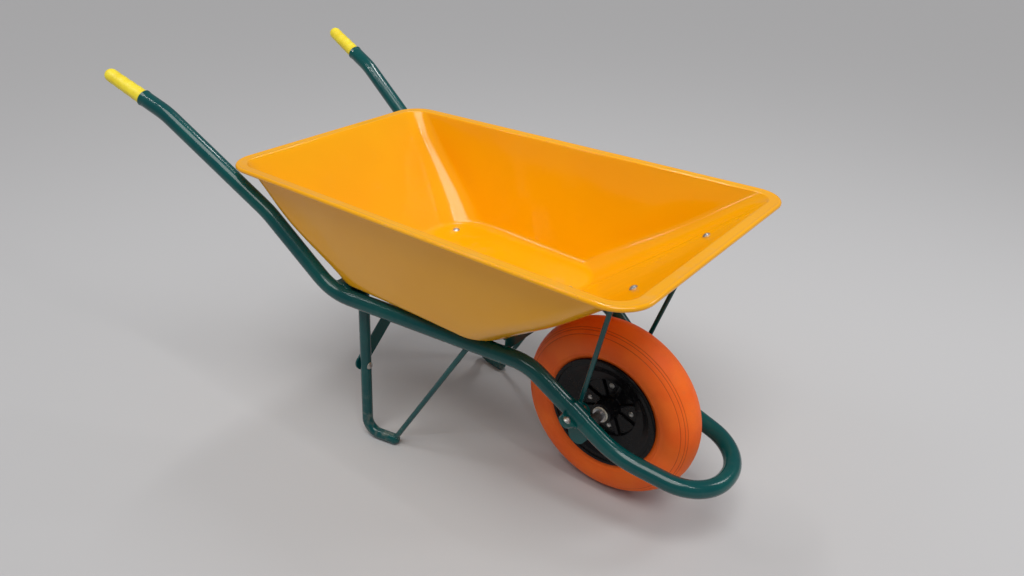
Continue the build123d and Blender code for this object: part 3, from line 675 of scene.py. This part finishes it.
# ------------------------------------------------------------------ grips
GRIP_LENGTH = 115.0 * MM
GRIP_ROOT = 17.0 * MM
GRIP_END = 15.5 * MM
MOUTH_BEHIND, MOUTH_HEIGHT, MOUTH_HALF = 1.058, 0.729, 0.31385
HANDLE_BACK, HANDLE_RISE, HANDLE_SPLAY = 0.061, 0.0255, 0.170
HANDLE_RUN = Vector((-HANDLE_BACK, HANDLE_SPLAY * HANDLE_BACK, HANDLE_RISE)).normalized()
GRIP_STEPS = 48
SHAFT_STEPS = 46
DOME_STEPS = 12
SPIGOT_LENGTH = 40 * MM
SPIGOT_SET_IN = 4 * MM
COLLAR_LENGTH = 7 * MM
COLLAR_EDGE = 6.9 * MM
FINGER_PITCH = 23 * MM
ROOT_FADE = 12 * MM
DOME_FADE = 10 * MM
SCALLOP_ROUND = 0.35  # millimetres, all the way round
SCALLOP_TOP = 0.75  # millimetres more on the top
SEAM_RIDGE = 0.35 * MM
SEAM_SPOTS = (0, GRIP_STEPS // 2, GRIP_STEPS // 4 * 3)


def grip(side, name):
    """Moulded grip with shallow finger scallops, a parting line and a domed end."""
    mouth = Vector((axle.x - MOUTH_BEHIND, side * MOUTH_HALF, MOUTH_HEIGHT))
    run = Vector((HANDLE_RUN.x, side * HANDLE_RUN.y, HANDLE_RUN.z))
    across = run.cross(Z_UP).normalized()
    over = across.cross(run)
    dome_start = GRIP_LENGTH - GRIP_END
    spigot = GRIP_ROOT - SPIGOT_SET_IN
    stations = [(-SPIGOT_LENGTH, spigot), (-COLLAR_LENGTH, spigot), (-COLLAR_EDGE, GRIP_ROOT)]
    for step in range(SHAFT_STEPS + 1):
        share = step / SHAFT_STEPS
        stations.append((dome_start * share, GRIP_ROOT + (GRIP_END - GRIP_ROOT) * share))
    for step in range(1, DOME_STEPS):
        angle = math.radians(90 * step / DOME_STEPS)
        stations.append((dome_start + GRIP_END * math.sin(angle), GRIP_END * math.cos(angle)))
    mesh = bmesh.new()
    rings = []
    for reach, radius in stations:
        ring = []
        fade = min(max(reach / ROOT_FADE, 0), 1) * min(max((dome_start - reach) / DOME_FADE, 0), 1)
        wave = 0.5 - 0.5 * math.cos(2 * math.pi * reach / FINGER_PITCH)
        for step in range(GRIP_STEPS):
            angle = 2 * math.pi * step / GRIP_STEPS
            high = max(math.sin(angle), 0) ** 2
            seam = SEAM_RIDGE if step in SEAM_SPOTS and reach > 0 else 0
            size = radius - wave * fade * (SCALLOP_ROUND + SCALLOP_TOP * high) * MM + seam
            aside = across * math.cos(angle) + over * math.sin(angle)
            ring.append(mesh.verts.new(mouth + run * reach + aside * size))
        rings.append(ring)
    weave_rings(mesh, rings, closed_ends=True)
    piece = piece_from(mesh, f"grip_moulding_{name}", "grip_yellow")
    declare(piece, "frame", "grip_yellow", f"grip_{name}")


# ------------------------------------------------------------------ repeated details
class Growth:
    """A Geometry Nodes tree with named size inputs, whose result becomes a plain mesh."""

    def __init__(self, name, sizes):
        self.tree = bpy.data.node_groups.new(name, "GeometryNodeTree")
        add_socket = self.tree.interface.new_socket
        add_socket("Geometry", in_out="INPUT", socket_type="NodeSocketGeometry")
        add_socket("Geometry", in_out="OUTPUT", socket_type="NodeSocketGeometry")
        self.sockets = {}
        for label in sizes:
            self.sockets[label] = add_socket(label, in_out="INPUT", socket_type="NodeSocketFloat")
        self.entry = self.tree.nodes.new("NodeGroupInput")
        self.exit = self.tree.nodes.new("NodeGroupOutput")
        self.sizes = sizes

    def size(self, label):
        return self.entry.outputs[label]

    def node(self, kind, settings=(), **values):
        """A node with its settings, then the values or links of its inputs."""
        made = self.tree.nodes.new(kind)
        for key, value in dict(settings).items():
            setattr(made, key, value)
        for key, value in values.items():
            target = made.inputs[key.replace("_", " ")]
            if isinstance(value, bpy.types.NodeSocket):
                self.tree.links.new(value, target)
            else:
                target.default_value = value
        return made

    def grow(self, seed_mesh, geometry, name, material):
        """Runs the tree on a mesh and returns the result as a finished piece."""
        solid = self.node("GeometryNodeRealizeInstances", Geometry=geometry)
        coated = self.node("GeometryNodeSetMaterial", Geometry=solid.outputs[0])
        coated.inputs["Material"].default_value = finishes[material]
        self.tree.links.new(coated.outputs[0], self.exit.inputs[0])
        holder = bpy.data.objects.new(f"{name}_seed", seed_mesh)
        bpy.context.scene.collection.objects.link(holder)
        modifier = holder.modifiers.new("growth", "NODES")
        modifier.node_group = self.tree
        for label, value in self.sizes.items():
            modifier[self.sockets[label].identifier] = value
        evaluated = holder.evaluated_get(bpy.context.evaluated_depsgraph_get())
        data = bpy.data.meshes.new_from_object(evaluated)
        bpy.data.objects.remove(holder)
        data.shade_smooth()
        piece = bpy.data.objects.new(name, data)
        bpy.context.scene.collection.objects.link(piece)
        return piece


def ring_of_spots(radius, count, reach, turn):
    """Mesh of loose points round the wheel's axis."""
    data = bpy.data.meshes.new("spots")
    angles = [turn + 2 * math.pi * step / count for step in range(count)]
    spots = [(axle.x + radius * math.cos(a), reach, axle.z + radius * math.sin(a)) for a in angles]
    data.from_pydata(spots, [], [])
    return data


RIB_COUNT = 8
RIB_WIDTH = 4.0 * MM
RIB_HEIGHT = 8.0 * MM
RIB_LEVEL = 10 * MM  # the ribs' middle, from the wheel's middle plane
RIB_EDGE = 1.2 * MM
RIB_EDGE_POINTS = 4
HUB_RADIUS = 23.5 * MM
CUP_RADIUS = 66.0 * MM


def rim_ribs():
    """Ribs between the hub and the wall of the rim's cup, on both sides."""
    rib_middle = (HUB_RADIUS + CUP_RADIUS) / 2
    sizes = {"Length": CUP_RADIUS - HUB_RADIUS, "Width": RIB_WIDTH, "Height": RIB_HEIGHT}
    for side, name in SIDES:
        growth = Growth("rim_rib", sizes)
        profile = growth.node(
            "GeometryNodeCurvePrimitiveQuadrilateral",
            Width=growth.size("Width"),
            Height=growth.size("Height"),
        )
        soft = growth.node(
            "GeometryNodeFilletCurve",
            {"mode": "POLY"},
            Curve=profile.outputs[0],
            Radius=RIB_EDGE,
            Count=RIB_EDGE_POINTS,
        )
        span = growth.node(
            "GeometryNodeCurvePrimitiveLine",
            {"mode": "DIRECTION"},
            Length=growth.size("Length"),
        )
        span.inputs["Direction"].default_value = (1, 0, 0)
        centred = growth.node("GeometryNodeTransform", Geometry=span.outputs[0])
        centred.inputs["Translation"].default_value = ((HUB_RADIUS - CUP_RADIUS) / 2, 0, 0)
        bar = growth.node(
            "GeometryNodeCurveToMesh",
            Curve=centred.outputs[0],
            Profile_Curve=soft.outputs[0],
            Fill_Caps=True,
        )
        where = growth.node("GeometryNodeInputPosition")
        outward = growth.node("ShaderNodeVectorMath", {"operation": "SUBTRACT"})
        growth.tree.links.new(where.outputs[0], outward.inputs[0])
        outward.inputs[1].default_value = (axle.x, side * RIB_LEVEL, axle.z)
        turn = growth.node(
            "FunctionNodeAlignRotationToVector",
            {"axis": "X"},
            Vector=outward.outputs[0],
        )
        ribs = growth.node(
            "GeometryNodeInstanceOnPoints",
            Points=growth.entry.outputs[0],
            Instance=bar.outputs[0],
            Rotation=turn.outputs[0],
        )
        seed = ring_of_spots(rib_middle, RIB_COUNT, side * RIB_LEVEL, math.pi / RIB_COUNT)
        piece = growth.grow(seed, ribs.outputs[0], f"rim_ribs_{name}", "rim_black")
        declare(piece, "wheel", "rim_black")


WELDED = {
    "leg_left": ("frame_tube",),
    "leg_right": ("frame_tube",),
    "leg_stay_left": ("frame_tube", "leg_left"),
    "leg_stay_right": ("frame_tube", "leg_right"),
    "rear_crossmember": ("frame_tube",),
    "front_crossmember": ("frame_tube",),
    "front_stay_left": ("stay_foot_left",),
    "front_stay_right": ("stay_foot_right",),
}
SEAM_REACH = 0.35 * MM
CAD_MERGE = 0.01 * MM
SEAM_MERGE = 0.02 * MM
WELD_RIPPLE = 2.2 * MM
WELD_RADIUS = 2.6 * MM
WELD_SEED = 7
WELD_SCALES = (0.85, 1.12)


def merged_copy(node):
    """A CAD node's mesh with its loose triangles merged."""
    mesh = bmesh.new()
    mesh.from_mesh(nodes[node].data)
    bmesh.ops.remove_doubles(mesh, verts=mesh.verts, dist=CAD_MERGE)
    return mesh


def seam_edges(member, base):
    """Edges where one CAD node's end lies on another's surface."""
    skin = merged_copy(base)
    tree = BVHTree.FromBMesh(skin)
    ends = merged_copy(member)
    near = {}
    for vert in ends.verts:
        near[vert] = tree.find_nearest(vert.co, SEAM_REACH)[0] is not None
    found = []
    for edge in ends.edges:
        if not (near[edge.verts[0]] and near[edge.verts[1]]) or len(edge.link_faces) != 2:
            continue
        middle = (edge.verts[0].co + edge.verts[1].co) / 2
        if tree.find_nearest(middle, 2 * SEAM_REACH)[0] is None:
            continue
        on_end = [all(near[vert] for vert in face.verts) for face in edge.link_faces]
        if on_end[0] != on_end[1]:
            found.append([vert.co.copy() for vert in edge.verts])
    skin.free()
    ends.free()
    return found


def weld_beads():
    """Rippled weld beads where the frame's members are joined."""
    growth = Growth("weld_bead", {"Ripple": WELD_RIPPLE, "Bead": WELD_RADIUS})
    merged = growth.node(
        "GeometryNodeMergeByDistance",
        Geometry=growth.entry.outputs[0],
        Distance=SEAM_MERGE,
    )
    path = growth.node("GeometryNodeMeshToCurve", Mesh=merged.outputs[0])
    even = growth.node(
        "GeometryNodeResampleCurve",
        {"mode": "LENGTH"},
        Curve=path.outputs[0],
        Length=growth.size("Ripple"),
    )
    blob = growth.node("GeometryNodeMeshIcoSphere", Radius=growth.size("Bead"), Subdivisions=2)
    wobble = growth.node("FunctionNodeRandomValue", {"data_type": "FLOAT"}, Seed=WELD_SEED)
    wobble.inputs[2].default_value, wobble.inputs[3].default_value = WELD_SCALES
    beads = growth.node(
        "GeometryNodeInstanceOnPoints",
        Points=even.outputs[0],
        Instance=blob.outputs[0],
        Scale=wobble.outputs[1],
    )
    data = bpy.data.meshes.new("seams")
    spots = []
    lines = []
    for member, bases in WELDED.items():
        for base in bases:
            for start, end in seam_edges(member, base):
                lines.append((len(spots), len(spots) + 1))
                spots += [start, end]
    data.from_pydata(spots, lines, [])
    piece = growth.grow(data, beads.outputs[0], "weld_beads", "frame_green")
    declare(piece, "frame", "frame_green")


tray_shell()
tyre()
rim_halves()
rim_ribs()
for side, name in SIDES:
    grip(side, name)
weld_beads()


# ------------------------------------------------------------------ stage, light and camera
FLOOR_SPAN = 60
FLOOR_PALE = (0.52, 0.52, 0.53, 1)
SKY_COLOUR = (0.86, 0.88, 0.93, 1)
SKY_STRENGTH = 0.25
SUN_COLOUR = (1.0, 0.975, 0.94)
SUN_STRENGTH = 1.8
SUN_SPREAD = math.radians(38)
SUN_TILT = (math.radians(20), math.radians(14), 0)
BARROW_MIDDLE = (0, 0, 0.4)

# Name, place, aim, width, height and power in watts.
LAMPS = (
    ("overhead", (-0.5, 1.1, 2.9), BARROW_MIDDLE, 0.16, 0.9, 13),
    ("tube_lamp_front", (1.9, -0.3, 2.6), BARROW_MIDDLE, 0.06, 1.7, 11),
    ("tube_lamp_rear", (-1.3, -1.2, 2.6), BARROW_MIDDLE, 0.06, 1.7, 9),
    ("window", (1.9, 1.5, 1.9), (-0.3, 0.2, 0.5), 0.55, 0.75, 9),
)


def stage_floor():
    """Pale matt floor."""
    bpy.ops.mesh.primitive_plane_add(size=FLOOR_SPAN)
    floor = bpy.context.object
    floor.name = "studio_floor"
    paint = Paint("studio_floor_pale")
    floor.data.materials.append(paint.finish(Base_Color=FLOOR_PALE, Roughness=0.7))


def area_light(name, place, aim, width, height, power):
    """A soft rectangular lamp that points at a spot."""
    lamp = bpy.data.lights.new(name, "AREA")
    lamp.shape = "RECTANGLE"
    lamp.size = width
    lamp.size_y = height
    lamp.energy = power
    holder = bpy.data.objects.new(name, lamp)
    bpy.context.scene.collection.objects.link(holder)
    holder.location = place
    holder.rotation_euler = (Vector(aim) - Vector(place)).to_track_quat("-Z", "Y").to_euler()


def studio():
    """Even soft daylight, a broad overhead lamp and narrow lamps for crisp lines on the tubes."""
    world = bpy.data.worlds.new("studio")
    bpy.context.scene.world = world
    world.use_nodes = True
    background = world.node_tree.nodes["Background"]
    background.inputs["Color"].default_value = SKY_COLOUR
    background.inputs["Strength"].default_value = SKY_STRENGTH
    key = bpy.data.lights.new("key", "SUN")
    key.energy = SUN_STRENGTH
    key.angle = SUN_SPREAD
    key.color = SUN_COLOUR
    holder = bpy.data.objects.new("key", key)
    bpy.context.scene.collection.objects.link(holder)
    holder.rotation_euler = SUN_TILT
    for lamp in LAMPS:
        area_light(*lamp)


def camera():
    """The camera's place in the room, with its heading, dip and a slight roll."""
    place = Vector((1.1186, -1.2532, 1.2148))
    heading = math.radians(37.04)
    dip = math.radians(27.79)
    roll = math.radians(0.90)
    lens = bpy.data.cameras.new("camera")
    lens.sensor_width = 36.0
    lens.lens = 28.83
    holder = bpy.data.objects.new("camera", lens)
    bpy.context.scene.collection.objects.link(holder)
    turn = Matrix.Rotation(heading, 4, "Z") @ Matrix.Rotation(math.pi / 2 - dip, 4, "X")
    holder.matrix_world = Matrix.Translation(place) @ turn @ Matrix.Rotation(roll, 4, "Z")
    bpy.context.scene.camera = holder


stage_floor()
studio()
camera()
bpy.context.scene.view_settings.view_transform = "Standard"
